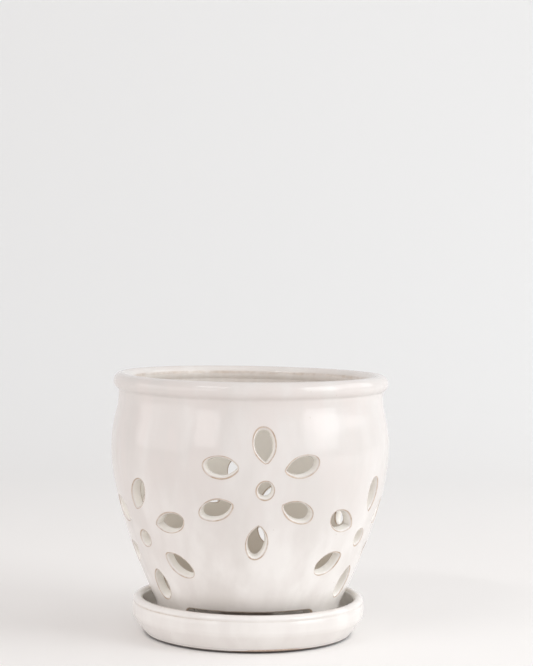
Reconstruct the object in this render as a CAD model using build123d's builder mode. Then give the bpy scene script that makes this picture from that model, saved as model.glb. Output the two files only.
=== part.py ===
from build123d import *
import math
import os

# A glazed stoneware orchid pot that stands in its own saucer. Millimetres, Z up.
# The origin is the centre of the saucer's foot ring, on the ground.
# A turn of 0 degrees is the front, -Y, and turns grow towards +X.

# Saucer, with the gap between the pot's feet and its wall
saucer_gap = 8.6
saucer_height = 24.6
saucer_wall = 6.6
saucer_floor = 6.0
saucer_cove = 5.0
saucer_bevel_width = 7.0
saucer_bevel_height = 9.8
saucer_bevel_round = 7.0
saucer_under_round = 1.0
foot_ring_inset = 0.9
foot_ring_width = 8.0
foot_ring_height = 2.5
foot_ring_round = 0.8

# Pot, with its heights above its own base
pot_wall = 6.5
pot_floor = 5.0
pot_cove = 3.0
foot_radius = 59.2
foot_wall = 7.5
foot_straight = 12.0
foot_blend = 15.0
belly_radius = 89.2
belly_height = 110.3
neck_radius = 84.9
neck_height = 143.3
pot_height = 158.5
drain_radius = 8.0
drain_round = 1.5
seat_clearance = 0.2

# The outer wall's line: its lean in degrees where it leaves the feet, and its stations between feet and
# belly and between belly and neck, as shares of that rise and of the change in radius
foot_lean_angle = 65
upright_angle = 90
lower_wall_shares = [(0.4, 0.555), (0.7, 0.855)]
upper_wall_shares = [(0.64, 0.465)]

# Rim: a roll of clay round the mouth, its middle set in from the neck's outer face
rim_roll = 10.8
rim_inset = 2.1
rim_cove = 2.0

# Feet: arches cut through the foot ring leave one foot between each two
arch_count = 3
arch_turn_angle = 1.0
arch_span_angle = 82.5
arch_height = 15.2
arch_corner = 5.0
arch_round = 2.5
foot_round = 1.0

# Cut flowers: a round hole with petals about it. A petal's sides slant away from its tip, swell to its
# shoulder and close in a round end.
petal_length = 20.5
petal_width = 11.6
petal_slant_angle = 50
petal_shoulder_share = 0.56
petal_reach = 29.5
flower_hole = 9.6

# The flowers sit in two rows, measured along the wall from the top of the feet
high_row = 87.2
low_row = 50.0

# Cuts run this far past the faces that they start from
overrun = 3.0

# The petals of each flower, seen from outside: the direction from the hole in degrees, anticlockwise
# from the right, the reach as a share of petal_reach, and the petal's lean off that direction.
# They were cut by eye, so no two flowers are alike.
front_shares = [
    (32, 0.91, -19), (92, 0.92, 2), (153, 1.05, 25),
    (203, 1.1, -2), (263, 1.14, 3), (326, 0.84, 8),
]
right_shares = [
    (28, 0.98, -3), (83, 0.96, 7), (152, 0.94, 5),
    (211, 0.97, -4), (271, 1.07, -7), (331, 1.0, 4),
]
left_shares = [
    (27, 1.03, -16), (84, 1.01, -20), (146, 1.0, 4),
    (206, 0.98, 0), (273, 1.07, -8), (330, 0.99, -4),
]
back_shares = [
    (29, 1.0, 4), (82, 0.96, 3), (150, 1.0, 8),
    (218, 0.86, 0), (270, 1.05, 2), (331, 0.98, -5),
]
back_right_shares = [
    (27, 1.0, -4), (91, 0.97, 3), (153, 0.98, 6),
    (207, 1.0, 0), (269, 1.06, -3), (333, 0.97, 5),
]
back_left_shares = [
    (29, 0.98, 3), (89, 0.95, -4), (151, 1.01, -5),
    (209, 1.0, 4), (271, 1.07, 2), (330, 1.0, -2),
]

# Each flower: its turn, its row, its height as a share of that row's, and its petals
flower_shares = [
    (6.4, high_row, 1.0, front_shares),
    (60.6, low_row, 1.03, right_shares),
    (124.5, high_row, 1.0, back_right_shares),
    (184.5, low_row, 0.96, back_shares),
    (244.5, high_row, 1.0, back_left_shares),
    (304.8, low_row, 0.995, left_shares),
]

# Levels above the ground
seat = foot_ring_height + saucer_floor
base = seat + seat_clearance
arch_top = base + arch_height
wall_foot = base + foot_straight
belly = base + belly_height
neck = base + neck_height
rim_centre = base + pot_height - rim_roll / 2
lip_centre = saucer_height - saucer_wall / 2
bevel_top = foot_ring_height + saucer_bevel_height

# Radii: the middle of the rim's roll, the saucer, the edge where its bevel meets its underside, and the
# foot ring set in from there
rim_radius = neck_radius - rim_inset
saucer_radius = foot_radius + saucer_gap + saucer_wall
bevel_foot = saucer_radius - saucer_bevel_width
foot_ring_radius = bevel_foot - foot_ring_inset

corner_low = (Align.MIN, Align.MIN)


def lean(degrees):
    """The direction in a section that leans outwards from the upright at 90 degrees."""
    return (math.cos(math.radians(degrees)), math.sin(math.radians(degrees)))


def nearest_corner(sketch, across, up):
    """The corner of a section that lies nearest to a point."""
    return sketch.vertices().sort_by_distance((across, up))[0]


def axis_distance(point):
    """How far a point lies from the pot's axis."""
    return math.hypot(point.X, point.Y)


def half_plane(turn):
    """The upright plane through the axis at a turn: X points outwards and Y up."""
    outwards = Vector(0, -1, 0).rotate(Axis.Z, turn)
    return Plane(origin=(0, 0, 0), x_dir=outwards, z_dir=outwards.cross(Vector(0, 0, 1)))


# Saucer: a floor, an upright wall with a round lip and a bevel at its foot, and a foot ring below
with BuildPart() as saucer:
    with BuildSketch(Plane.XZ) as saucer_section:
        with BuildLine():
            Polyline(
                (0, foot_ring_height),
                (bevel_foot, foot_ring_height),
                (saucer_radius, bevel_top),
                (saucer_radius, lip_centre),
                (saucer_radius - saucer_wall, lip_centre),
                (saucer_radius - saucer_wall, seat),
                (0, seat),
                close=True,
            )
        make_face()
        with Locations((saucer_radius - saucer_wall / 2, lip_centre)):
            Circle(saucer_wall / 2)
        with Locations((foot_ring_radius - foot_ring_width, 0)):
            Rectangle(foot_ring_width, foot_ring_height + saucer_floor / 2, align=corner_low)
        fillet(nearest_corner(saucer_section, saucer_radius, bevel_top), saucer_bevel_round)
        fillet(nearest_corner(saucer_section, bevel_foot, foot_ring_height), saucer_under_round)
        fillet(nearest_corner(saucer_section, saucer_radius - saucer_wall, seat), saucer_cove)
        for radius in (foot_ring_radius, foot_ring_radius - foot_ring_width):
            fillet(nearest_corner(saucer_section, radius, 0), foot_ring_round)
    revolve(axis=Axis.Z)
saucer.part.label = "saucer"


def wall_curve(inset):
    """The wall's line in a section, from the top of the feet to the neck, moved inwards by an inset."""
    stations = [
        (foot_radius + out * (belly_radius - foot_radius) - inset, wall_foot + up * (belly - wall_foot))
        for up, out in lower_wall_shares
    ]
    shoulder = [
        (neck_radius + out * (belly_radius - neck_radius) - inset, belly + up * (neck - belly))
        for up, out in upper_wall_shares
    ]
    return Spline(
        (foot_radius - inset, wall_foot),
        *stations,
        (belly_radius - inset, belly),
        *shoulder,
        (neck_radius - inset, neck),
        tangents=[lean(foot_lean_angle), lean(upright_angle)],
    )


def wall_plane(turn, row, across=0, up=0, swing=0):
    """The plane that touches the outer wall across and up from a place: Z points outwards, and X points
    level to the right for someone outside, swung anticlockwise."""
    line = wall.line.edge()
    point = line.position_at(row + up, position_mode=PositionMode.LENGTH)
    slope = line.tangent_at(row + up, position_mode=PositionMode.LENGTH)
    section = half_plane(turn + math.degrees(across / point.X))
    level = -section.z_dir
    normal = level.cross(section.x_dir * slope.X + section.y_dir * slope.Y)
    swung = level.rotate(Axis((0, 0, 0), normal), swing)
    touching = Plane(origin=section.from_local_coords((point.X, point.Y)), x_dir=swung, z_dir=normal)
    return touching.offset(overrun)


with BuildLine() as wall:
    wall_curve(0)

# Each petal's plane touches the wall at the petal's middle, with X along the petal from its tip
petal_planes = []
hole_planes = []
for turn, row, row_share, petal_shares in flower_shares:
    hole_planes.append(wall_plane(turn, row * row_share))
    for direction, reach_share, petal_lean in petal_shares:
        reach = petal_reach * reach_share
        way = math.radians(direction)
        across = reach * math.cos(way)
        up = reach * math.sin(way)
        petal_planes.append(wall_plane(turn, row * row_share, across, up, direction + petal_lean))

# A petal's outline, with its middle at the origin and its tip to the left
with BuildSketch() as petal:
    with BuildLine():
        Spline(
            (-petal_length / 2, 0),
            ((petal_shoulder_share - 1 / 2) * petal_length, petal_width / 2),
            (petal_length / 2, 0),
            tangents=[lean(petal_slant_angle), lean(-upright_angle)],
        )
        mirror(about=Plane.XZ)
    make_face()

# The cut that makes one arch: a stretch of ring, rounded at its upper ends
with BuildPart() as arch_cut:
    with BuildSketch(half_plane(arch_turn_angle - arch_span_angle / 2)):
        with Locations((foot_radius - foot_wall - overrun, base - overrun)):
            Rectangle(foot_wall + pot_wall + overrun, arch_height + overrun, align=corner_low)
    revolve(axis=Axis.Z, revolution_arc=arch_span_angle)
    fillet(arch_cut.edges().filter_by(GeomType.LINE).group_by(Axis.Z)[-1], arch_corner)

# Pot: the wall band, the roll on top of its collar, the floor and the foot ring, turned in one section
with BuildPart() as pot:
    with BuildSketch(Plane.XZ) as pot_section:
        with BuildLine():
            outer = wall_curve(0)
            inner = wall_curve(pot_wall)
            Line(outer @ 0, inner @ 0)
            Line(outer @ 1, inner @ 1)
        make_face()
        with Locations((neck_radius - pot_wall, neck)):
            Rectangle(pot_wall, rim_centre - neck, align=corner_low)
        with Locations((rim_radius, rim_centre)):
            Circle(rim_roll / 2)
        with Locations((foot_radius - foot_wall, base)):
            Rectangle(foot_wall, arch_height + pot_floor / 2, align=corner_low)
        with Locations((0, arch_top)):
            Rectangle(foot_radius, pot_floor, align=corner_low)
        fillet(nearest_corner(pot_section, neck_radius, rim_centre - rim_roll / 2), rim_cove)
        fillet(nearest_corner(pot_section, foot_radius - pot_wall, arch_top + pot_floor), pot_cove)
        fillet(nearest_corner(pot_section, foot_radius, wall_foot), foot_blend)
    revolve(axis=Axis.Z)

    # Drain hole in the floor, eased round its upper edge
    with Locations((0, 0, arch_top + pot_floor)):
        Hole(drain_radius, depth=pot_floor + overrun)
    fillet(pot.edges(Select.NEW).sort_by(Axis.Z)[-1], drain_round)

    # Arches, rounded where they break the outside, and the soles of the feet that they leave
    with PolarLocations(0, arch_count):
        add(arch_cut.part, mode=Mode.SUBTRACT)
    outside_edges = pot.edges(Select.NEW).filter_by(
        lambda edge: axis_distance(edge @ 0.5) > foot_radius - foot_round
    )
    fillet(outside_edges.filter_by(lambda edge: (edge @ 0.5).Z > base), arch_round)
    fillet(pot.faces().group_by(Axis.Z)[0].edges(), foot_round)

    # Petals and holes, cut square to the wall from just outside it
    with BuildSketch(*petal_planes):
        add(petal.sketch)
    with BuildSketch(*hole_planes):
        Circle(flower_hole / 2)
    extrude(amount=-pot_wall - 2 * overrun, mode=Mode.SUBTRACT)
pot.part.label = "pot"

os.makedirs("parts", exist_ok=True)
export_step(saucer.part, "parts/saucer.step")
export_step(pot.part, "parts/pot.step")
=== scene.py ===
import math

import bpy
import numpy as np
from mathutils import Matrix, Vector, kdtree
from mathutils.geometry import delaunay_2d_cdt


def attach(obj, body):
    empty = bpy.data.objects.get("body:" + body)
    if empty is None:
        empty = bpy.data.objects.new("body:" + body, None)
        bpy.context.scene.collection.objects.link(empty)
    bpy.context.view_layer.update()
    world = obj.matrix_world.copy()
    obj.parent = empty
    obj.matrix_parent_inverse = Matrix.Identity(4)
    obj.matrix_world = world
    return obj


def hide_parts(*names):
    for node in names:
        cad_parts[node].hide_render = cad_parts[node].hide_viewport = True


# A glazed stoneware orchid pot in its saucer. Sizes here are millimetres, in the frame's own axes, and
# every mesh is brought to metres as it is made. A turn of 0 degrees is the front, -Y, and grows to +X.

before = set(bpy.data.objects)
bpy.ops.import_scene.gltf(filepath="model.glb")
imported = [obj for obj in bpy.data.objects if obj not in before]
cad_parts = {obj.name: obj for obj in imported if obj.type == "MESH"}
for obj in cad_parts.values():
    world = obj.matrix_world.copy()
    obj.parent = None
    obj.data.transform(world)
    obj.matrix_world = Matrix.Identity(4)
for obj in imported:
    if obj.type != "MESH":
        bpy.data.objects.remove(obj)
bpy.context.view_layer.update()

METRES = 0.001

# Saucer
saucer_radius = 74.4
saucer_height = 24.6
saucer_wall = 6.6
saucer_floor = 6.0
saucer_bevel_width = 7.0
saucer_bevel_height = 9.8
saucer_bevel_round = 7.0
foot_ring_radius = 66.5
foot_ring_width = 8.0
foot_ring_height = 2.5
foot_chamfer_width = 4.5
foot_chamfer_height = 1.0
saucer_groove = 0.55
saucer_wall_slant = 1.0
saucer_inner_cove = 7.0

# Pot
pot_wall = 6.5
pot_floor = 5.0
foot_radius = 59.2
foot_wall = 7.5
foot_straight = 12.0
foot_blend = 15.0
belly_radius = 89.2
belly_height = 110.3
neck_radius = 84.9
neck_height = 143.3
pot_height = 158.5
drain_radius = 8.0
drain_under_edge = 1.2
drain_upper_edge = 1.6
drain_surround = 14.0
floor_dip = 0.2
bowl_bend = 2.5
seat_clearance = 0.2
rim_roll = 10.8
rim_radius = 82.8
rim_cove = 2.0
rim_inner_cove = 1.6
foot_lean = math.radians(65)
wall_stations = [(0.4, 0.555), (0.7, 0.855)]
shoulder_stations = [(0.64, 0.465)]

# Arches between the feet, with lips that grow to the soles' over a stretch up each foot
arch_turns = [121.0, 241.0, 361.0, 481.0]
arch_span = 82.5
arch_height = 15.2
arch_corner = 5.0
foot_corner = 3.2
arch_lip = 1.2
sole_lip = 1.6
inner_lip = 1.0
lip_change_start = 1.0
lip_change_rise = 6.0
sole_fade = 3.0

# Cut flowers. The wobbles and spreads are the unevenness of cutting by hand.
petal_length = 20.5
petal_width = 11.6
petal_tip_radius = 0.65
petal_tip_way = (math.cos(math.radians(50)), math.sin(math.radians(50)))
petal_shoulder = 0.56
petal_reach = 29.5
flower_hole = 9.6
slot_lip = 1.5
bowl_lip = 1.1
throat_narrowing = 0.35
outline_wobble = (0.22, 0.13)
lip_wobble = (0.22, 0.1)
length_spread = 0.02
width_spread = 0.04
high_row = 87.2
low_row = 50.0

# The petals of each flower, seen from outside: direction, reach as a share, and lean off the direction
front_petals = [
    (32, 0.91, -19), (92, 0.92, 2), (153, 1.05, 25),
    (203, 1.1, -2), (263, 1.14, 3), (326, 0.84, 8),
]
right_petals = [
    (28, 0.98, -3), (83, 0.96, 7), (152, 0.94, 5),
    (211, 0.97, -4), (271, 1.07, -7), (331, 1.0, 4),
]
left_petals = [
    (27, 1.03, -16), (84, 1.01, -20), (146, 1.0, 4),
    (206, 0.98, 0), (273, 1.07, -8), (330, 0.99, -4),
]
back_petals = [
    (29, 1.0, 4), (82, 0.96, 3), (150, 1.0, 8),
    (218, 0.86, 0), (270, 1.05, 2), (331, 0.98, -5),
]
back_right_petals = [
    (27, 1.0, -4), (91, 0.97, 3), (153, 0.98, 6),
    (207, 1.0, 0), (269, 1.06, -3), (333, 0.97, 5),
]
back_left_petals = [
    (29, 0.98, 3), (89, 0.95, -4), (151, 1.01, -5),
    (209, 1.0, 4), (271, 1.07, 2), (330, 1.0, -2),
]
flowers = [
    (6.4, high_row, front_petals),
    (60.6, low_row * 1.03, right_petals),
    (124.5, high_row, back_right_petals),
    (184.5, low_row * 0.96, back_petals),
    (244.5, high_row, back_left_petals),
    (304.8, low_row * 0.995, left_petals),
]

# Marks for the glaze. Above 0 it runs thin and breaks to tan, and below 0 it pools and is whiter. The rim's
# line, the bowl lips and the basin also carry painted shade above 0 and painted light below 0.
lip_edge_mark = 0.12
lip_break_mark = 1.15
lip_break = math.radians(22)
lip_break_width = math.radians(19)
throat_mark = -0.8
# The slots' lips inside the bowl break to tan, deepened as painted shade round the back slots seen from
# inside
bowl_lip_break_and_shade_mark = 1.2
rim_crest_mark = 0.3
# The line inside the rim is a glaze break with painted shade under the roll, and the mark below it is
# painted shade alone
rim_line_break_and_shade_mark = 1.1
rim_below_painted_shade_mark = 0.3
rim_face_mark = 0.08
drain_edge_mark = 0.6
# Whiter in the saucer's basin: pooled glaze, and painted light where the pot shades the basin
basin_pool_and_painted_light_mark = -0.9
saucer_crest_mark = 0.4

# Heights above the rim roll's centre: where its crest begins, and the line inside it, a glaze break with
# painted shade under the roll
rim_crest_rise = 4.0
rim_line_rise = 1.4

# The line that the saucer's foot was wiped to: its height at the sides, and its rise at the front
wiped_height = 0.3
wiped_rise = 2.7

# Slow waves that turning and drying leave: how often round the axis, climb per mm, size in mm
drying_waves = [(2, 0.004, 0.12), (3, 0.013, 0.12), (5, 0.03, 0.07), (0, 0.14, 0.06), (9, 0.06, 0.03)]
calm_radius = 40.0

# Levels
seat = foot_ring_height + saucer_floor
base = seat + seat_clearance
arch_top = base + arch_height
bowl_floor = arch_top + pot_floor
wall_foot = base + foot_straight
belly = base + belly_height
neck = base + neck_height
rim_centre = base + pot_height - rim_roll / 2

# Mesh
columns = 240
seam = 94.5
spacing = 2.4
flat_radius = 78.0
slot_points = 48
lip_steps = 7
blend_end = 3.6
section_step = 0.8


def unit(way):
    return way / np.linalg.norm(way)


def spline(points, first_way, last_way, steps=24):
    """A smooth line through points that leaves and arrives along two directions."""
    points = np.array(points, float)
    gaps = np.linalg.norm(np.diff(points, axis=0), axis=1)
    count = len(points)
    system = np.eye(count)
    pull = np.zeros((count, 2))
    pull[0], pull[-1] = first_way, last_way
    for i in range(1, count - 1):
        before, after = gaps[i - 1], gaps[i]
        system[i, i - 1 : i + 2] = 1 / before, 2 / before + 2 / after, 1 / after
        pull[i] = 3 * (points[i] - points[i - 1]) / before**2 + 3 * (points[i + 1] - points[i]) / after**2
    slopes = np.linalg.solve(system, pull)
    line = [points[:1]]
    share = np.linspace(0, 1, steps + 1)[1:, None]
    for i, gap in enumerate(gaps):
        line.append(
            points[i] * (1 + 2 * share) * (1 - share) ** 2
            + points[i + 1] * share**2 * (3 - 2 * share)
            + gap * slopes[i] * share * (1 - share) ** 2
            - gap * slopes[i + 1] * share**2 * (1 - share)
        )
    return np.concatenate(line)


def rounded(points, radii, arc_steps=8):
    """Straight runs through points, with an arc at each inner corner. A radius of 0 leaves a corner."""
    points = np.array(points, float)
    line = [points[0]]
    for before, corner, after, radius in zip(points, points[1:], points[2:], radii):
        arrive, leave = unit(corner - before), unit(after - corner)
        turn = math.acos(np.clip(arrive @ leave, -1, 1))
        if radius == 0 or turn < 1e-4:
            line.append(corner)
            continue
        side = unit(leave - arrive * (arrive @ leave))
        start = corner - arrive * radius * math.tan(turn / 2)
        for angle in np.linspace(0, turn, arc_steps + 1):
            line.append(start + radius * (math.sin(angle) * arrive + (1 - math.cos(angle)) * side))
    line.append(points[-1])
    return np.array(line)


def arc(centre, radius, first, last, steps):
    """Points of an arc between two directions in degrees."""
    angles = np.radians(np.linspace(first, last, steps + 1))
    return np.array(centre) + radius * np.stack([np.cos(angles), np.sin(angles)], axis=1)


def lengths(line):
    """How far along a line each of its points lies."""
    return np.concatenate([[0], np.cumsum(np.linalg.norm(np.diff(line, axis=0), axis=1))])


def at(line, along):
    """The points that lie at given lengths along a line."""
    marks = lengths(line)
    return np.stack([np.interp(along, marks, line[:, k]) for k in range(line.shape[1])], axis=-1)


def stepped(line, longest):
    """A line with its long runs divided."""
    parts = [line[:1]]
    for start, end in zip(line, line[1:]):
        steps = max(1, math.ceil(np.linalg.norm(end - start) / longest))
        parts.append(start + (end - start) * np.linspace(0, 1, steps + 1)[1:, None])
    return np.concatenate(parts)


def smooth(share):
    share = np.clip(share, 0, 1)
    return share * share * (3 - 2 * share)


def peak(value, middle, width):
    """1 at the middle, falling off to both sides."""
    return math.exp(-(((value - middle) / width) ** 2))


def turned(turn, radius, height):
    """Points at turns in degrees, radii and heights."""
    angle = np.radians(turn)
    return np.stack(
        np.broadcast_arrays(radius * np.sin(angle), -radius * np.cos(angle), height), axis=-1
    ).astype(float)


def uneven(points, share, drop, level, rise, seed):
    """Moves points towards the axis and down by the slow waves that turning and drying leave. The drop
    sets in above a level and grows over a rise."""
    angle = np.arctan2(points[:, 0], -points[:, 1])
    height = points[:, 2]
    radius = np.hypot(points[:, 0], points[:, 1])
    draw = np.random.default_rng(seed)
    wave = np.zeros(len(points))
    total = 0
    for count, climb, size in drying_waves:
        wave += size * np.sin(count * angle + climb * height + draw.uniform(0, 2 * math.pi))
        total += size
    inwards = share * (total - wave) * smooth(radius / calm_radius)
    sag = drop * (1 + np.sin(2 * angle + draw.uniform(0, 2 * math.pi))) * smooth((height - level) / rise)
    moved = points.copy()
    moved[:, :2] *= (1 - inwards / np.maximum(radius, 1))[:, None]
    moved[:, 2] -= sag
    return moved


class Clay:
    """A closed skin in the making: its points, its faces, and two marks for the glaze. The waves are what
    uneven does to it when it is made."""

    def __init__(self, **waves):
        self.points, self.faces, self.marks = [], [], []
        self.facings = {}
        self.waves = waves

    def add(self, points, thin=0.0, bare=0.0):
        """Adds points and returns their numbers. The first mark says how far the glaze thins, and in a few
        places paints shade and light; bare marks where it ends.
        """
        first = len(self.points)
        points = np.atleast_2d(points)
        self.points.extend(points)
        marks = np.zeros((len(points), 2))
        marks[:, 0], marks[:, 1] = thin, bare
        self.marks.extend(marks)
        return np.arange(first, len(self.points))

    def strip(self, start, end):
        """Faces between two rings, the second to the left of the first as seen from outside. One ring may
        have half the points of the other."""
        count = min(len(start), len(end))
        for i in range(count):
            j = (i + 1) % count
            if len(start) == len(end):
                corners = list(dict.fromkeys([int(start[i]), int(start[j]), int(end[j]), int(end[i])]))
                if len(corners) > 2:
                    self.faces.append(corners)
            elif len(start) > len(end):
                middle, after = start[2 * i + 1], start[(2 * i + 2) % len(start)]
                self.faces += [
                    [start[2 * i], middle, end[i]],
                    [middle, after, end[j]],
                    [middle, end[j], end[i]],
                ]
            else:
                middle, after = end[2 * i + 1], end[(2 * i + 2) % len(end)]
                self.faces += [
                    [start[i], middle, end[2 * i]],
                    [start[j], after, middle],
                    [start[i], start[j], middle],
                ]

    def rings(self, line, first, turns, thin=None, bare=None):
        """Turns a section line round the axis, from a ring that is there already, and returns its last
        ring. Thin and bare are worked out from radius and height."""
        ring = first
        for radius, height in line:
            following = self.add(
                turned(turns, radius, height),
                thin(radius, height) if thin else 0.0,
                bare(radius, height) if bare else 0.0,
            )
            self.strip(ring, following)
            ring = following
        return ring

    def face_like(self, numbers, surface, turns, along, inwards=False):
        """Keeps the way that a smooth surface faces at points that lie on it."""
        step = 0.4
        ends = [
            uneven(surface(turns + a, along + b), **self.waves)
            for a, b in ((step, 0), (-step, 0), (0, step), (0, -step))
        ]
        facing = np.cross(ends[0] - ends[1], ends[2] - ends[3]) * (-1 if inwards else 1)
        facing /= np.linalg.norm(facing, axis=1)[:, None]
        self.facings.update(zip(numbers.tolist(), facing))

    def made(self, name, body, node, slot):
        """The finished object, in metres."""
        used = sorted(set().union(*self.faces))
        renumbered = dict(zip(used, range(len(used))))
        faces = [[renumbered[number] for number in face] for face in self.faces]
        points = uneven(np.array(self.points), **self.waves)[used] * METRES
        mesh = bpy.data.meshes.new(name)
        mesh.from_pydata(points.tolist(), [], faces)
        mesh.validate()
        for number, mark in enumerate(("thin", "bare")):
            values = np.array(self.marks)[used, number].astype(np.float32)
            mesh.attributes.new(mark, "FLOAT", "POINT").data.foreach_set("value", values)
        mesh.shade_smooth()
        facings = [vertex.normal.copy() for vertex in mesh.vertices]
        for number, facing in self.facings.items():
            facings[renumbered[number]] = Vector(facing)
        mesh.normals_split_custom_set_from_vertices(facings)
        piece = bpy.data.objects.new(name, mesh)
        bpy.context.scene.collection.objects.link(piece)
        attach(piece, body)
        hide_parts(node)
        return piece


# Pot wall, mapped by turn and by length up the outside

# The outside in section, from the sole up to the neck
wall_line = spline(
    [(foot_radius, wall_foot)]
    + [
        (foot_radius + out * (belly_radius - foot_radius), wall_foot + up * (belly - wall_foot))
        for up, out in wall_stations
    ]
    + [(belly_radius, belly)]
    + [
        (neck_radius + out * (belly_radius - neck_radius), belly + up * (neck - belly))
        for up, out in shoulder_stations
    ]
    + [(neck_radius, neck)],
    (math.cos(foot_lean), math.sin(foot_lean)),
    (0, 1),
)
wall_marks = lengths(wall_line)
foot_corners = [(foot_radius, base), (foot_radius, wall_foot), at(wall_line, blend_end)]
outside = np.concatenate(
    [
        rounded(foot_corners, [foot_blend])[:-1],
        at(wall_line, np.arange(blend_end, wall_marks[-1], section_step)),
        wall_line[-1:],
    ]
)
outside_marks = lengths(outside)
wall_top = outside_marks[-1]
arch_top_mark = float(np.interp(arch_top, outside[:, 1], outside_marks))


def outward(along):
    """The way the outside faces in section, at lengths up it."""
    above, below = np.minimum(along + section_step, wall_top), np.maximum(along - section_step, 0)
    way = at(outside, above) - at(outside, below)
    facing = np.stack([way[..., 1], -way[..., 0]], axis=-1)
    return facing / np.linalg.norm(facing, axis=-1)[..., None]


def through(turns, along, share):
    """Points in the wall: share 0 is the outside, 1 the face of the bowl, which bends into its floor."""
    outer = at(outside, along)
    facing = outward(along)
    inner = outer - facing * (pot_wall * facing[..., :1])
    above = inner[..., 1] - bowl_floor
    inner[..., 1] = bowl_floor - floor_dip + (above + np.sqrt(above**2 + bowl_bend**2)) / 2
    share = np.asarray(share)[..., None] if np.ndim(share) else share
    point = outer + (inner - outer) * share
    return turned(turns, point[..., 0], point[..., 1])


def outer_skin(turns, along):
    return through(turns, along, 0.0)


def bowl_skin(turns, along):
    return through(turns, along, 1.0)


def flat(turns, along):
    """Where a place on the wall lies when the wall is laid flat."""
    return np.stack(np.broadcast_arrays(np.radians(turns) * flat_radius, along), axis=-1)


def inside(points, loop):
    """Which points lie inside a closed loop."""
    crossed = np.zeros(len(points), bool)
    x, y = points[:, 0], points[:, 1]
    for (x0, y0), (x1, y1) in zip(loop, np.roll(loop, -1, axis=0)):
        if y0 != y1:
            spans = (y0 > y) != (y1 > y)
            crossed ^= spans & (x < (x1 - x0) * (y - y0) / (y1 - y0) + x0)
    return crossed


def near(points, others):
    """How far each point lies from the nearest of the others."""
    tree = kdtree.KDTree(len(others))
    for i, (x, y) in enumerate(others):
        tree.insert((x, y, 0), i)
    tree.balance()
    return np.array([tree.find((x, y, 0))[2] for x, y in points])


def sheet(clay, surface, low, high, loops, voids, inwards=False):
    """Covers the wall between two open runs with triangles and leaves the loops open.

    low and high are (turns, lengths, numbers) with one point more at the seam, and loops are
    (turns, lengths, numbers, points round the loop that ease the mesh out from it)."""
    low_flat, high_flat = flat(low[0], low[1]), flat(high[0], high[1])
    loop_flats = [flat(turns, along) for turns, along, _, _ in loops]
    spots = [low_flat, high_flat] + loop_flats
    numbers = [np.append(low[2], low[2][0]), np.append(high[2], high[2][0])] + [loop[2] for loop in loops]
    edges = []
    first = 0
    for part, closed in zip(spots, [False, False] + [True] * len(loops)):
        run = np.arange(first, first + len(part))
        edges.extend(zip(run[:-1], run[1:]))
        if closed:
            edges.append((run[-1], run[0]))
        first += len(part)
    outlines = np.concatenate(spots)

    # Easing rings, where they are clear of the other outlines
    eased = []
    for i, loop in enumerate(loops):
        others = np.concatenate(loop_flats[:i] + loop_flats[i + 1 :] + [low_flat, high_flat])
        for away, ring in loop[3]:
            ring = flat(ring[0], ring[1])
            eased.append(ring[near(ring, others) > away * 1.15])
    eased = np.concatenate(eased)
    clear = np.ones(len(eased), bool)
    for loop in loop_flats + voids:
        clear &= ~inside(eased, loop)
    eased = eased[clear & (near(eased, outlines) > 1.1)]

    # Columns and rows between them
    turns = np.linspace(seam, seam + 360, columns + 1)
    rows = np.arange(low[1].min() + spacing * 0.6, high[1].min() - spacing * 0.5, spacing)
    grid = flat(*[part.ravel() for part in np.meshgrid(turns[1:-1], rows)])
    clear = near(grid, np.concatenate([outlines, eased])) > spacing * 0.62
    for loop in loop_flats + voids:
        clear &= ~inside(grid, loop)
    grid = grid[clear]
    seam_rows = rows[rows > low[1][0] + spacing * 0.5]

    fresh = np.concatenate([eased, grid])
    fresh_turns, fresh_along = np.degrees(fresh[:, 0] / flat_radius), fresh[:, 1]
    fresh_numbers = clay.add(surface(fresh_turns, fresh_along))
    seam_numbers = clay.add(surface(np.full(len(seam_rows), seam), seam_rows))
    clay.face_like(fresh_numbers, surface, fresh_turns, fresh_along, inwards)
    clay.face_like(seam_numbers, surface, np.full(len(seam_rows), seam), seam_rows, inwards)
    left, right = flat(seam, seam_rows), flat(seam + 360, seam_rows)
    run = np.arange(len(outlines), len(outlines) + len(seam_rows))
    last_low, last_high = len(low_flat) - 1, len(low_flat) + len(high_flat) - 1
    for column, start, end in ((run, 0, len(low_flat)), (run + len(run), last_low, last_high)):
        whole = np.concatenate([[start], column, [end]])
        edges.extend(zip(whole[:-1], whole[1:]))
    everything = np.concatenate([outlines, left, right, fresh])
    numbers = np.concatenate(numbers + [seam_numbers, seam_numbers, fresh_numbers])

    spots, _, triangles, sources, _, _ = delaunay_2d_cdt(
        [Vector(spot) for spot in everything], [(int(a), int(b)) for a, b in edges], [], 0, 1e-6
    )
    source = np.array([found[0] if found else -1 for found in sources])
    if (source < 0).any():
        raise ValueError("outlines cross each other on the wall")
    triangles = np.array(triangles)
    middles = np.array([tuple(spot) for spot in spots])[triangles].mean(axis=1)
    kept = np.ones(len(triangles), bool)
    for loop in loop_flats + voids:
        kept &= ~inside(middles, loop)
    for triangle in numbers[source[triangles[kept]]].tolist():
        clay.faces.append(triangle[::-1] if inwards else triangle)


# Slots: petals and holes as outlines that can be widened evenly


def hull(circles):
    """Points round the hull of circles, evenly spaced, and the way that each faces."""
    angles = np.radians(np.arange(0, 360.5, 0.5))
    ways = np.stack([np.cos(angles), np.sin(angles)], axis=1)
    reaches = np.stack([x * ways[:, 0] + y * ways[:, 1] + radius for x, y, radius in circles])
    best = reaches.argmax(axis=0)
    circles = np.array(circles)
    line = circles[best, :2] + circles[best, 2:] * ways
    marks = lengths(line)
    along = np.linspace(0, marks[-1], slot_points, endpoint=False)
    angle = np.interp(along, marks, angles)
    return at(line, along), np.stack([np.cos(angle), np.sin(angle)], axis=1), angle


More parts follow.
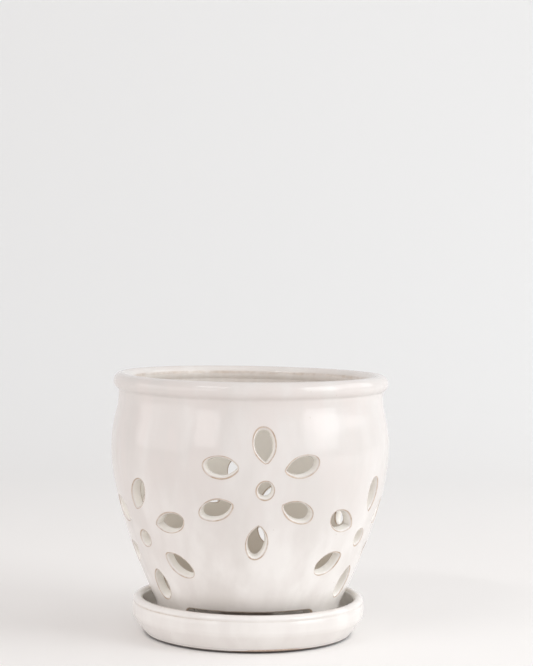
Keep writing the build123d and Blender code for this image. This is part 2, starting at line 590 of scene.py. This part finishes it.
class Slot:
    """One cut through the wall: its outline on the flat wall, about its own middle."""

    def __init__(self, turn, along, swing, circles, draw):
        self.turn, self.along, self.swing = turn, along, math.radians(swing)
        self.line, self.ways, angle = hull(circles)
        phases = draw.uniform(0, 2 * math.pi, 4)
        self.line = self.line + self.ways * (
            outline_wobble[0] * np.sin(2 * angle + phases[0])
            + outline_wobble[1] * np.sin(3 * angle + phases[1])
        )[:, None]
        self.lip = slot_lip * (
            1 + lip_wobble[0] * np.sin(angle + phases[2]) + lip_wobble[1] * np.sin(3 * angle + phases[3])
        )

    def outline(self, wider):
        """The turns and lengths of the outline, widened."""
        spots = self.line + self.ways * np.broadcast_to(wider, len(self.line))[:, None]
        across = spots[:, 0] * math.cos(self.swing) - spots[:, 1] * math.sin(self.swing)
        up = spots[:, 0] * math.sin(self.swing) + spots[:, 1] * math.cos(self.swing)
        along = self.along + up
        return self.turn + np.degrees(across / at(outside, along)[:, 0]), along

    def cut(self, clay):
        """Adds the slot's lips and throat, and returns its loops on the outside and in the bowl."""
        outer_loop = self.outline(self.lip)
        ring = clay.add(outer_skin(*outer_loop), thin=lip_edge_mark)
        outer_numbers = ring
        clay.face_like(ring, outer_skin, *outer_loop)
        for step in range(1, lip_steps + 1):
            angle = math.pi / 2 * step / lip_steps
            turns, along = self.outline(self.lip * (1 - math.sin(angle)))
            depth = self.lip * (1 - math.cos(angle)) / pot_wall
            thin = lip_break_mark * peak(angle, lip_break, lip_break_width)
            thin += throat_mark * smooth(angle / math.pi * 4 - 1)
            following = clay.add(through(turns, along, depth), thin=thin)
            clay.strip(ring, following)
            ring = following
        start = self.lip / pot_wall
        end = 1 - bowl_lip / pot_wall
        for share in (1 / 3, 2 / 3, 1):
            turns, along = self.outline(-throat_narrowing * share)
            following = clay.add(through(turns, along, start + (end - start) * share), thin=throat_mark)
            clay.strip(ring, following)
            ring = following
        for step in range(1, 5):
            angle = math.pi / 2 * step / 4
            bowl_loop = self.outline(bowl_lip * (1 - math.cos(angle)) - throat_narrowing)
            share = 1 - bowl_lip * (1 - math.sin(angle)) / pot_wall
            # The glaze break on the lip inside the bowl, with painted shade
            following = clay.add(through(*bowl_loop, share), thin=bowl_lip_break_and_shade_mark * math.sin(2 * angle))
            clay.strip(ring, following)
            ring = following
        clay.face_like(ring, bowl_skin, *bowl_loop, inwards=True)
        outer_ease = [(away, self.outline(self.lip + away)) for away in (1.5, 3.4)]
        bowl_ease = [(away, self.outline(bowl_lip - throat_narrowing + away)) for away in (1.5, 3.4)]
        return (*outer_loop, outer_numbers, outer_ease), (*bowl_loop, ring, bowl_ease)


def petal(turn, row, direction, reach, lean, draw):
    way = math.radians(direction)
    along = foot_straight + row + petal_reach * reach * math.sin(way)
    across = petal_reach * reach * math.cos(way)
    turn += math.degrees(across / at(outside, along)[0])
    tip = petal_length * draw.uniform(1 - length_spread, 1 + length_spread) / 2 - petal_tip_radius
    shoulder = (petal_shoulder - 0.5) * petal_length
    circles = []
    for side in (1, -1):
        half = petal_width * draw.uniform(1 - width_spread, 1 + width_spread) / 2 - petal_tip_radius
        flank = spline([(-tip, 0), (shoulder, half), (tip, 0)], petal_tip_way, (0, -1))
        circles += [(x, side * y, petal_tip_radius) for x, y in flank]
    return Slot(turn, along, direction + lean, circles, draw)


# The pot's skin

pot = Clay(share=0.8, drop=0.3, level=14, rise=60, seed=5)
draw = np.random.default_rng(21)
slots = []
for turn, row, petals in flowers:
    turn += 360 if turn < seam else 0
    slots.append(Slot(turn, foot_straight + row, 0, [(0, 0, flower_hole / 2)], draw))
    slots.extend(petal(turn, row, direction, reach, lean, draw) for direction, reach, lean in petals)

# The lower edge of the outside runs over each arch and down round each foot
corners, radii = [(seam, arch_top_mark)], []
for number, centre in enumerate(arch_turns):
    left, right = centre - arch_span / 2, centre + arch_span / 2
    if number > 0:
        corners += [(left, 0.0), (left, arch_top_mark)]
        radii += [foot_corner, arch_corner]
    if number < len(arch_turns) - 1:
        corners += [(right, arch_top_mark), (right, 0.0)]
        radii += [arch_corner, foot_corner]
corners.append((seam + 360, arch_top_mark))
skyline = rounded([(math.radians(turn) * foot_radius, mark) for turn, mark in corners], radii)
skyline = at(skyline, np.linspace(0, lengths(skyline)[-1], columns + 1))
run_ways = np.gradient(skyline, axis=0)
run_ways /= np.linalg.norm(run_ways, axis=1)[:, None]
into_clay = np.stack([-run_ways[:, 1], run_ways[:, 0]], axis=1)
on_arch = smooth((skyline[:, 1] - lip_change_start) / lip_change_rise)
edge_lip = sole_lip + (arch_lip - sole_lip) * on_arch


def foot_edge(wider, depth):
    """The lower edge moved into the clay along the wall and in from the outside: turns, lengths, points."""
    spots = skyline + into_clay * np.broadcast_to(wider, len(skyline))[:, None]
    turns, along = np.degrees(spots[:, 0] / foot_radius), spots[:, 1]
    section = at(outside, along)
    return turns, along, turned(turns, section[:, 0] - depth, section[:, 1])


turns, along, points = foot_edge(edge_lip, 0.0)
sky_numbers = pot.add(points[:-1], thin=0.1)
pot.face_like(sky_numbers, outer_skin, turns[:-1], along[:-1])
sky_run = (turns, along, sky_numbers)
sole = smooth(1 - skyline[:-1, 1] / sole_fade)
ring = sky_numbers
for step in range(1, lip_steps + 1):
    angle = math.pi / 2 * step / lip_steps
    _, _, points = foot_edge(edge_lip * (1 - math.sin(angle)), edge_lip * (1 - math.cos(angle)))
    following = pot.add(
        points[:-1],
        thin=math.sin(2 * angle) ** 0.7 * 0.85 + 0.15,
        bare=sole * smooth(step / lip_steps * 2 - 1),
    )
    pot.strip(following, ring)
    ring = following
inner_foot = foot_radius - foot_wall
edge_in = at(outside, np.maximum(skyline[:, 1], 0))[:, 0] - inner_foot
lower = smooth((arch_top_mark - skyline[:, 1]) / sole_fade)
for depth_left, wider in ((inner_lip, 0.0), (0.3 * inner_lip, 0.3 * inner_lip), (0.0, inner_lip)):
    _, _, points = foot_edge(wider * lower, edge_in - depth_left)
    following = pot.add(points[:-1], thin=0.2, bare=np.maximum(sole, 0.6 * (inner_lip - depth_left)))
    pot.strip(following, ring)
    ring = following

# Inner faces of the feet, up to the underside of the floor, left bare; the darker clay there also stands in
# for the shade in the gap under the pot
sky_turns = np.degrees(np.arctan2(points[:-1, 0], -points[:-1, 1]))
sky_turns = np.unwrap(sky_turns, period=360)
sky_heights = points[:-1, 2]
flush = sky_heights > arch_top - 0.02
under_turns = sky_turns.copy()
numbers = np.arange(columns)
starts = [i for i in numbers if flush[i] and not flush[(i + 1) % columns]]
for start in starts:
    end = start + 1
    while not flush[end % columns]:
        end += 1
    stretch = np.arange(start, end + 1) % columns
    first, last = sky_turns[stretch[0]], sky_turns[stretch[-1]]
    under_turns[stretch] = np.linspace(first, last, len(stretch))
for share in (0.2, 0.4, 0.6, 0.8, 1.0):
    row = pot.add(
        turned(
            sky_turns + (under_turns - sky_turns) * share,
            inner_foot,
            sky_heights + (arch_top - sky_heights) * share,
        ),
        bare=1.0,
    )
    row[flush] = ring[flush]
    pot.strip(row, ring)
    ring = row

# Underside of the floor, the drain hole and the floor, to the foot of the bowl. The columns are halved
# on the way in and doubled on the way out.
even_turns = np.linspace(seam, seam + 360, columns, endpoint=False)
floor_mark = foot_straight + 2.0
# Bare clay under the floor, whose darker colour also stands in for shade there
for radius, relaxed in ((49, 0.25), (46, 0.6), (43, 1.0), (40, 1.0)):
    row = pot.add(turned(under_turns + (even_turns - under_turns) * relaxed, radius, arch_top), bare=1.0)
    pot.strip(row, ring)
    ring = row
drain_line = rounded(
    [
        (drain_surround, arch_top),
        (drain_radius, arch_top),
        (drain_radius, bowl_floor - floor_dip),
        (drain_surround, bowl_floor - floor_dip),
    ],
    [drain_under_edge, drain_upper_edge],
)
for radius, height, step in [
    (34, arch_top, 2),
    (28, arch_top, 2),
    (22, arch_top, 4),
    *[(radius, height, 4) for radius, height in stepped(drain_line, 2.0)],
    (22, bowl_floor - floor_dip, 4),
    (28, bowl_floor - floor_dip, 2),
    (34, bowl_floor - floor_dip, 2),
    (40, bowl_floor - floor_dip, 1),
    (44, bowl_floor - floor_dip, 1),
    (48, bowl_floor - floor_dip, 1),
]:
    row = pot.add(
        turned(even_turns[::step], radius, height),
        thin=drain_edge_mark if radius < drain_radius + drain_under_edge else 0.0,
        bare=1.0 if height < arch_top + 0.5 else 0.0,
    )
    pot.strip(row, ring)
    ring = row
bowl_foot = pot.add(bowl_skin(even_turns, np.full(columns, floor_mark)))
pot.strip(bowl_foot, ring)

# Neck and rim
outer_neck = pot.add(outer_skin(even_turns, np.full(columns, wall_top)))
bowl_neck = pot.add(bowl_skin(even_turns, np.full(columns, wall_top)))
cove_across = neck_radius + rim_cove - rim_radius
cove_drop = math.sqrt((rim_roll / 2 + rim_cove) ** 2 - cove_across**2)
cove_angle = math.degrees(math.atan2(cove_drop, -cove_across))
bowl_radius = neck_radius - pot_wall
inner_across = bowl_radius - rim_inner_cove - rim_radius
inner_drop = math.sqrt((rim_roll / 2 + rim_inner_cove) ** 2 - inner_across**2)
inner_angle = math.degrees(math.atan2(inner_drop, -inner_across))
rim_line = np.concatenate(
    [
        [(neck_radius, neck + 1.9)],
        arc((neck_radius + rim_cove, rim_centre - cove_drop), rim_cove, 180, cove_angle, 6),
        arc((rim_radius, rim_centre), rim_roll / 2, cove_angle - 180, 180 + inner_angle, 26)[1:],
        arc((bowl_radius - rim_inner_cove, rim_centre - inner_drop), rim_inner_cove, inner_angle, 0, 5)[1:],
        [(bowl_radius, neck + 4.0), (bowl_radius, neck + 2.0)],
    ]
)


def rim_thin_and_shade(radius, height):
    """Glaze runs thin on the crest of the roll. Inside it, a line of broken glaze is deepened as painted
    shade under the roll, and the wall a little below that line is darkened as painted shade.
    """
    if height > rim_centre + rim_crest_rise:
        return rim_crest_mark * peak(radius, rim_radius - 1.5, 1.2)
    if radius < rim_radius:
        line = rim_centre + rim_line_rise
        return max(rim_line_break_and_shade_mark * peak(height, line, 0.6), rim_below_painted_shade_mark * smooth((line - height) / 1.5))
    return rim_face_mark


ring = pot.rings(rim_line, outer_neck, even_turns, thin=rim_thin_and_shade)
pot.strip(ring, bowl_neck)

# The two skins that the flowers are cut through
outer_loops, bowl_loops = zip(*[slot.cut(pot) for slot in slots])
far_below = -20.0
below = np.concatenate([flat(turns, along), [flat(seam + 360, far_below), flat(seam, far_below)]])
turns_run = np.append(even_turns, seam + 360)
sheet(
    pot, outer_skin, sky_run, (turns_run, np.full(columns + 1, wall_top), outer_neck), outer_loops, [below]
)
sheet(
    pot,
    bowl_skin,
    (turns_run, np.full(columns + 1, floor_mark), bowl_foot),
    (turns_run, np.full(columns + 1, wall_top), bowl_neck),
    bowl_loops,
    [],
    inwards=True,
)
pot_piece = pot.made("pot_body", "pot", "pot", "pot_glaze")

# Saucer

saucer = Clay(share=0.8, drop=0.14, level=10, rise=12, seed=9)
lip_centre = saucer_height - saucer_wall / 2
ring_inner = foot_ring_radius - foot_ring_width
bevel_foot = saucer_radius - saucer_bevel_width
bevel_top = foot_ring_height + saucer_bevel_height
saucer_under = rounded(
    [
        (46, foot_ring_height),
        (ring_inner, foot_ring_height),
        (ring_inner, 0),
        (foot_ring_radius - foot_chamfer_width, 0),
        (foot_ring_radius, foot_chamfer_height),
        (foot_ring_radius, foot_ring_height),
        (bevel_foot, foot_ring_height),
        (saucer_radius, bevel_top),
        (saucer_radius, lip_centre - 1.4),
    ],
    [0.9, 0.8, 1.2, 0.5, 0.35, 1.0, saucer_bevel_round],
    arc_steps=7,
)
groove = [(0.6, -0.8), (1.0, -0.2), (0.5, 0.5)]
saucer_lip = np.concatenate(
    [
        [(saucer_radius - saucer_groove * deep, lip_centre + up) for deep, up in groove],
        arc((saucer_radius - saucer_wall / 2, lip_centre), saucer_wall / 2, 16, 180, 18),
    ]
)
basin_radius = saucer_radius - saucer_wall
saucer_inside = rounded(
    [(basin_radius, lip_centre), (basin_radius - saucer_wall_slant, seat), (56, seat)], [saucer_inner_cove]
)[1:]
saucer_line = stepped(np.concatenate([saucer_under, saucer_lip, saucer_inside]), 3.0)


def beside(turn, width):
    """1 at a turn round the saucer, falling off to both sides."""
    return np.exp((np.cos(np.radians(even_turns - turn)) - 1) / (1 - math.cos(math.radians(width))))


def saucer_thin_and_light(radius, height):
    """Glaze pools in the basin round the feet, which is also whitened as painted light where the pot shades
    it, and runs thin on the crest and, here and there, in the groove under it."""
    if radius < basin_radius + 0.5 and height > seat - 1:
        return basin_pool_and_painted_light_mark * smooth((radius - foot_radius + 0.2) / 3)
    crest = peak(radius, saucer_radius - saucer_wall / 2, 1.6) if height > 22 else 0.0
    edge = peak(height, lip_centre - 0.2, 0.6) if radius > 73 else 0.0
    patches = 0.3 + 0.45 * beside(-48, 26) + 0.2 * beside(150, 60)
    return saucer_crest_mark * crest + edge * patches


def saucer_bare(radius, height):
    """The clay shows below the line that the glaze was wiped to, higher at the front than at the sides."""
    if radius > bevel_foot + 2:
        return 0.0
    return smooth((wiped_height + wiped_rise * beside(14, 28) - height) / 0.6)


# Closed over the axis underneath and in the basin
middle = saucer.add([(0, 0, foot_ring_height)])
ring = saucer.add(turned(even_turns[::16], 6, foot_ring_height))
for start, end in zip(ring, np.roll(ring, -1)):
    saucer.faces.append([int(middle[0]), int(end), int(start)])
for radius, step in ((12, 8), (18, 8), (24, 4), (32, 4), (38, 2), (42, 1)):
    ring = saucer.rings([(radius, foot_ring_height)], ring, even_turns[::step])
ring = saucer.rings(saucer_line, ring, even_turns, thin=saucer_thin_and_light, bare=saucer_bare)
for radius, step in ((50, 1), (44, 2), (38, 2), (31, 4), (24, 4), (18, 8), (12, 8), (6, 16)):
    ring = saucer.rings([(radius, seat)], ring, even_turns[::step])
middle = saucer.add([(0, 0, seat)])
for start, end in zip(ring, np.roll(ring, -1)):
    saucer.faces.append([int(start), int(end), int(middle[0])])
saucer_piece = saucer.made("saucer_body", "saucer", "saucer", "saucer_glaze")

# Glaze


class Nodes:
    """A material's node tree, wired by name."""

    def __init__(self, name):
        self.material = bpy.data.materials.new(name)
        self.material.use_nodes = True
        self.tree = self.material.node_tree
        self.shader = self.tree.nodes["Principled BSDF"]

    def node(self, kind, values=(), **settings):
        made = self.tree.nodes.new("ShaderNode" + kind)
        for key, value in settings.items():
            setattr(made, key, value)
        for key, value in dict(values).items():
            if isinstance(value, bpy.types.NodeSocket):
                self.tree.links.new(value, made.inputs[key])
            else:
                made.inputs[key].default_value = value
        return made

    def noise(self, scale, detail, roughness=0.5, where=None):
        made = self.node("TexNoise", {"Scale": scale, "Detail": detail, "Roughness": roughness})
        self.tree.links.new(where or self.place, made.inputs["Vector"])
        return made.outputs["Fac"]

    def maths(self, operation, a, b=0.0, c=0.0, clamp=False):
        made = self.node("Math", {0: a, 1: b, 2: c}, operation=operation, use_clamp=clamp)
        return made.outputs[0]

    def ramp(self, value, low, high, to_low=0.0, to_high=1.0):
        """A value between two levels, eased, brought to a new range."""
        made = self.node(
            "MapRange",
            {"Value": value, "From Min": low, "From Max": high, "To Min": to_low, "To Max": to_high},
            interpolation_type="SMOOTHSTEP",
        )
        return made.outputs["Result"]

    def bump(self, height, distance, strength, under=None):
        """The way a surface faces once a height is pressed into it, on top of another bump."""
        made = self.node("Bump", {"Height": height, "Distance": distance, "Strength": strength})
        if under:
            self.tree.links.new(under, made.inputs["Normal"])
        return made.outputs[0]

    def blend(self, share, a, b):
        made = self.node("Mix", data_type="RGBA")
        for socket, value in ((0, share), (6, a), (7, b)):
            if isinstance(value, bpy.types.NodeSocket):
                self.tree.links.new(value, made.inputs[socket])
            else:
                made.inputs[socket].default_value = value if socket == 0 else (*value, 1)
        return made.outputs[2]

    def inner_face(self):
        """1 where a surface faces the pot's axis, 0 where it faces away from it."""
        where = self.node("TexCoord").outputs
        across = self.node("VectorMath", {0: where["Object"], 1: (1, 1, 0)}, operation="MULTIPLY")
        away = self.node("VectorMath", {0: across.outputs[0]}, operation="NORMALIZE").outputs[0]
        facing = self.node("VectorMath", {0: away, 1: where["Normal"]}, operation="DOT_PRODUCT")
        return self.ramp(facing.outputs["Value"], -0.6, 0.0, 1.0, 0.0)

    def set(self, **values):
        for key, value in values.items():
            socket = self.shader.inputs[key.replace("_", " ")]
            if isinstance(value, bpy.types.NodeSocket):
                self.tree.links.new(value, socket)
            else:
                socket.default_value = value


# Colours as shares of red, green and blue: a pair runs from the darker patches to the lighter ones
cloud_shades = (0.79, 0.75, 0.72), (0.92, 0.89, 0.865)
shoulder_shade = (0.67, 0.63, 0.61)
mottle_shade = (0.745, 0.69, 0.665)
# The bowl's pair is its tint with painted shade: the darker colour deep inside the pot, the lighter higher
# up
bowl_tints_and_shade = (0.69, 0.63, 0.55), (0.92, 0.89, 0.83)
pool_and_painted_light_white = (0.96, 0.93, 0.87)
break_and_painted_shade_tans = (0.40, 0.28, 0.19), (0.55, 0.42, 0.315)
speck_shade = (0.42, 0.31, 0.23)
clay_shades = (0.57, 0.44, 0.355), (0.73, 0.595, 0.50)
# A near black painted contact shadow where the saucer's foot meets the table
painted_contact_shadow = (0.07, 0.05, 0.04)

# Heights in metres between which the glaze changes
shoulder_rise = 0.03, 0.125
mottle_rise = 0.05, 0.15
# Heights over which the painted shade inside the bowl lifts
bowl_shade_rise = 0.035, 0.115
neck_rise = 0.138, 0.156
sole_rise = 0.00005, 0.0004
contact_shadow_rise = 0.0012, 0.0020


def glaze(name, shift, spread):
    """A warm white stoneware glaze that breaks to tan where it runs thin, over a sandy clay body. It also
    carries painted shade and painted light: darker deep in the bowl, under the rim, round the slots' inner
    lips and where the saucer's foot meets the table, and whiter in the saucer's basin. The spread is how
    far its clouds go apart."""
    nodes = Nodes(name)
    place = nodes.node("TexCoord").outputs["Object"]
    nodes.place = nodes.node("Mapping", {"Vector": place, "Location": shift}).outputs["Vector"]
    thin = nodes.node("Attribute", attribute_name="thin").outputs["Fac"]
    bare = nodes.node("Attribute", attribute_name="bare").outputs["Fac"]

    height = nodes.node("SeparateXYZ", {0: place}).outputs["Z"]

    # Clouds that run down the wall, duller towards the shoulder, and the bowl's tint with painted shade,
    # darker deeper inside the pot
    runs = nodes.node("Mapping", {"Vector": nodes.place, "Scale": (1, 1, 0.4)}).outputs["Vector"]
    cloud = nodes.ramp(nodes.noise(36, 4, 0.5, runs), 0.36, 0.64, 0.5 - spread / 2, 0.5 + spread / 2)
    mottle = nodes.ramp(nodes.noise(58, 5, 0.5, runs), 0.42, 0.62)
    mottle = nodes.maths("MULTIPLY", mottle, nodes.ramp(height, *mottle_rise, 0.25, 0.8))
    white = nodes.blend(cloud, *cloud_shades)
    white = nodes.blend(nodes.ramp(height, *shoulder_rise, 0.0, 0.6), white, shoulder_shade)
    white = nodes.blend(mottle, white, mottle_shade)
    inner = nodes.maths("MULTIPLY", nodes.inner_face(), nodes.ramp(height, *neck_rise, 1.0, 0.15))
    white = nodes.blend(inner, white, nodes.blend(nodes.ramp(height, *bowl_shade_rise), *bowl_tints_and_shade))

    # Whiter where it pools and where light is painted, tan where it breaks and where shade is painted
    patchy = nodes.ramp(nodes.noise(120, 4, 0.6), 0.3, 0.7, 0.45, 1.25)
    white = nodes.blend(nodes.maths("MULTIPLY", thin, -1.0, clamp=True), white, pool_and_painted_light_white)
    thin = nodes.maths("MAXIMUM", thin, 0.0)
    breaks = nodes.maths("MULTIPLY", nodes.maths("POWER", thin, 1.5), patchy, clamp=True)
    tan = nodes.blend(nodes.ramp(nodes.noise(300, 3), 0.3, 0.7), *break_and_painted_shade_tans)
    colour = nodes.blend(nodes.maths("MULTIPLY", breaks, 0.9), white, tan)

    # A few specks of iron
    speck = nodes.node("TexVoronoi", {"Scale": 160.0, "Vector": nodes.place}, feature="F1")
    speck = nodes.ramp(speck.outputs["Distance"], 0.03, 0.075, 1.0, 0.0)
    speck = nodes.maths("MULTIPLY", speck, nodes.ramp(nodes.noise(55, 2), 0.58, 0.62))
    colour = nodes.blend(nodes.maths("MULTIPLY", speck, 0.35), colour, speck_shade)

    # Sandy clay past the glaze's edge, and a painted contact shadow where the foot meets the table
    sand = nodes.noise(900, 4, 0.7)
    clay = nodes.blend(nodes.ramp(sand, 0.35, 0.65), *clay_shades)
    ragged = nodes.maths("MULTIPLY", nodes.noise(140, 3), 0.3)
    edge = nodes.ramp(nodes.maths("ADD", bare, ragged), 0.5, 0.75)
    colour = nodes.blend(edge, colour, clay)
    above_sole = nodes.ramp(height, *sole_rise)
    contact_shadow = nodes.maths("MULTIPLY", nodes.ramp(height, *contact_shadow_rise, 0.97, 0.0), above_sole)
    colour = nodes.blend(contact_shadow, colour, painted_contact_shadow)

    # Gloss, with swells, a fine orange peel and the clay's pits
    gloss = nodes.ramp(nodes.noise(60, 5, 0.6), 0.3, 0.7, 0.09, 0.18)
    gloss = nodes.maths("MULTIPLY_ADD", edge, 0.6, gloss)
    swell = nodes.bump(nodes.noise(40, 3, 0.45, runs), 0.0010, 0.6)
    peel = nodes.bump(nodes.noise(420, 3, 0.5), 0.00005, 0.6, swell)
    pits = nodes.bump(nodes.maths("MULTIPLY", sand, edge), 0.0003, 0.8, peel)
    nodes.set(Base_Color=colour, Roughness=gloss, IOR=1.5, Normal=pits)
    return nodes.material


pot_piece.data.materials.append(glaze("pot_glaze_finish", (0, 0, 0), 1.0))
saucer_piece.data.materials.append(glaze("saucer_glaze_finish", (0.3, 0.1, 0.2), 0.4))

# Stage, light and camera


def paper(name, near_colour, far_colour):
    """Matt paper that goes from one shade to another behind the pot, with a faint tooth."""
    nodes = Nodes(name)
    nodes.place = nodes.node("TexCoord").outputs["Object"]
    depth = nodes.node("SeparateXYZ", {0: nodes.place}).outputs["Y"]
    nodes.set(
        Base_Color=nodes.blend(nodes.ramp(depth, 0.2, 1.3), near_colour, far_colour),
        Roughness=0.9,
        Specular_IOR_Level=0.2,
        Normal=nodes.bump(nodes.noise(900, 3), 0.0001, 0.4),
    )
    return nodes.material


# A floor that curves up into a backdrop well behind the pot
sweep_columns = 13
sweep = rounded([(-2.6, 0.0), (1.7, 0.0), (1.7, 2.4)], [0.9], arc_steps=24)
points = [(x, y, z) for y, z in sweep for x in np.linspace(-3.0, 3.0, sweep_columns)]
faces = [
    (start + i, start + i + 1, start + i + 1 + sweep_columns, start + i + sweep_columns)
    for start in range(0, (len(sweep) - 1) * sweep_columns, sweep_columns)
    for i in range(sweep_columns - 1)
]
mesh = bpy.data.meshes.new("studio_sweep")
mesh.from_pydata(points, [], faces)
mesh.shade_smooth()
mesh.materials.append(paper("studio_paper", (0.92, 0.90, 0.885), (0.925, 0.93, 0.93)))
floor = bpy.data.objects.new("studio_sweep", mesh)
bpy.context.scene.collection.objects.link(floor)


def softbox(name, place, target, size, power, colour):
    """A rectangular lamp that faces a target. Places and sizes are metres, and power is watts."""
    lamp = bpy.data.lights.new(name, "AREA")
    lamp.shape = "RECTANGLE"
    lamp.size, lamp.size_y = size
    lamp.energy = power
    lamp.color = colour
    holder = bpy.data.objects.new(name, lamp)
    holder.location = place
    holder.rotation_euler = (Vector(target) - Vector(place)).to_track_quat("-Z", "Y").to_euler()
    bpy.context.scene.collection.objects.link(holder)


softbox("right_wall", (1.3, -0.05, 0.85), (0, 0, 0.09), (2.0, 1.0), 8.6, (0.945, 0.98, 1.0))
softbox("right_front", (1.3, -0.72, 0.7), (0, 0, 0.09), (0.9, 1.2), 7.8, (0.93, 0.98, 1.0))
softbox("low_window", (-0.9, -1.2, 0.45), (0, 0, 0.1), (0.5, 0.45), 1.4, (1.0, 1.0, 1.0))
softbox("high_window", (-0.73, -0.87, 1.25), (0, 0, 0.1), (0.6, 0.09), 2.5, (1.0, 1.0, 1.0))
softbox("left_wall", (-1.5, -0.35, 0.42), (0, 0, 0.06), (1.6, 0.7), 4.1, (1.0, 0.985, 0.99))

world = bpy.data.worlds.new("studio")
world.use_nodes = True
room = world.node_tree.nodes["Background"].inputs
room["Color"].default_value = (1.0, 0.968, 0.957, 1)
room["Strength"].default_value = 0.615
bpy.context.scene.world = world

# The camera stands where the photograph was taken from
focal_pixels = 1784.163
photo_height_pixels = 666
sensor_height = 36
pitch, roll, yaw = 0.0412, 0.0147, 0.0066
ahead = Vector((math.sin(yaw) * math.cos(pitch), math.cos(yaw) * math.cos(pitch), -math.sin(pitch)))
level = Vector((math.cos(yaw), -math.sin(yaw), 0))
above = level.cross(ahead)
right = level * math.cos(roll) + above * math.sin(roll)
top = above * math.cos(roll) - level * math.sin(roll)
lens = bpy.data.cameras.new("camera")
lens.sensor_fit = "VERTICAL"
lens.sensor_height = sensor_height
lens.lens = focal_pixels / photo_height_pixels * sensor_height
camera = bpy.data.objects.new("camera", lens)
camera.matrix_world = Matrix((right, top, -ahead)).transposed().to_4x4()
camera.location = (0.0018197, -1.142675, 0.239976)
bpy.context.scene.collection.objects.link(camera)
bpy.context.scene.camera = camera
bpy.context.scene.view_settings.view_transform = "Standard"
